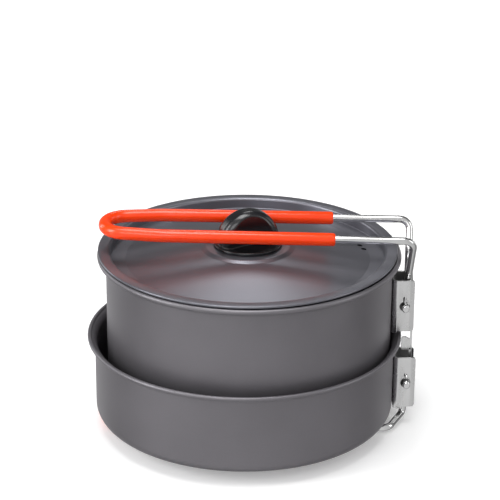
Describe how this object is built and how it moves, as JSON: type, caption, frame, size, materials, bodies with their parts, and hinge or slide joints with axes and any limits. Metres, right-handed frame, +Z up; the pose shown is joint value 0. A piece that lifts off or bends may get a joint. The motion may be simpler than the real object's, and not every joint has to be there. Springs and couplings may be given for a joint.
{
  "type": "nesting camping cooking pot set",
  "caption": "Anodised pot with a knobbed lid standing in a frying pan, each with a folding wire handle in a silicone sleeve hinged in a steel bracket.",
  "frame": {"origin": "on the pan's upright axis, level with what the set stands on (the underside of the pan handle's folded sleeves)", "axes": "+Z up; +X from the pan's axis towards the hinge brackets; the folded handles lie along X"},
  "size_m": [0.1802, 0.172, 0.1241],
  "materials": {
    "anodised": "hard-anodised, dark grey, satin",
    "satin_steel": "satin stainless sheet",
    "rivet_steel": "satin stainless",
    "bright_wire": "polished stainless wire",
    "orange_silicone": "smooth semi-gloss silicone",
    "knob_black": "gloss phenolic plastic",
    "zinc_steel": "zinc-plated",
    "insert_brass": "turned"
  },
  "bodies": {
    "pan": {"pan_shell": "anodised", "pan_bracket": "satin_steel", "pan_rivet_lower": "rivet_steel", "pan_rivet_upper": "rivet_steel", "pan_tongue": "satin_steel"},
    "pan_handle": {"pan_handle_wire": "bright_wire", "pan_handle_sleeve": "orange_silicone"},
    "pot": {"pot_shell": "anodised", "pot_bracket": "satin_steel", "pot_rivet_lower": "rivet_steel", "pot_rivet_upper": "rivet_steel"},
    "pot_handle": {"pot_handle_wire": "bright_wire", "pot_handle_sleeve": "orange_silicone"},
    "lid": {"lid_panel": "anodised", "knob_washer": "zinc_steel"},
    "knob": {"knob_grip": "knob_black", "knob_insert": "insert_brass", "knob_screw": "zinc_steel"}
  },
  "joints": [
    {"name": "pan_handle_fold", "type": "hinge", "parent": "pan", "child": "pan_handle", "pos_m": [0.08935, 0, 0.0248], "axis": [0, -1, 0], "range_deg": [0, 180]},
    {"name": "pot_lift", "type": "slide", "parent": "pan", "child": "pot", "axis": [0, 0, 1], "range_m": [0, 0.06]},
    {"name": "pot_handle_fold", "type": "hinge", "parent": "pot", "child": "pot_handle", "pos_m": [0.08735, 0, 0.0706], "axis": [0, 1, 0], "range_deg": [0, 168]},
    {"name": "lid_lift", "type": "slide", "parent": "pot", "child": "lid", "axis": [0, 0, 1], "range_m": [0, 0.0035]},
    {"name": "knob_turn", "type": "hinge", "parent": "lid", "child": "knob", "pos_m": [0.0015, 0, 0.1042], "axis": [0, 0, 1], "range_deg": [-43, 2]}
  ]
}
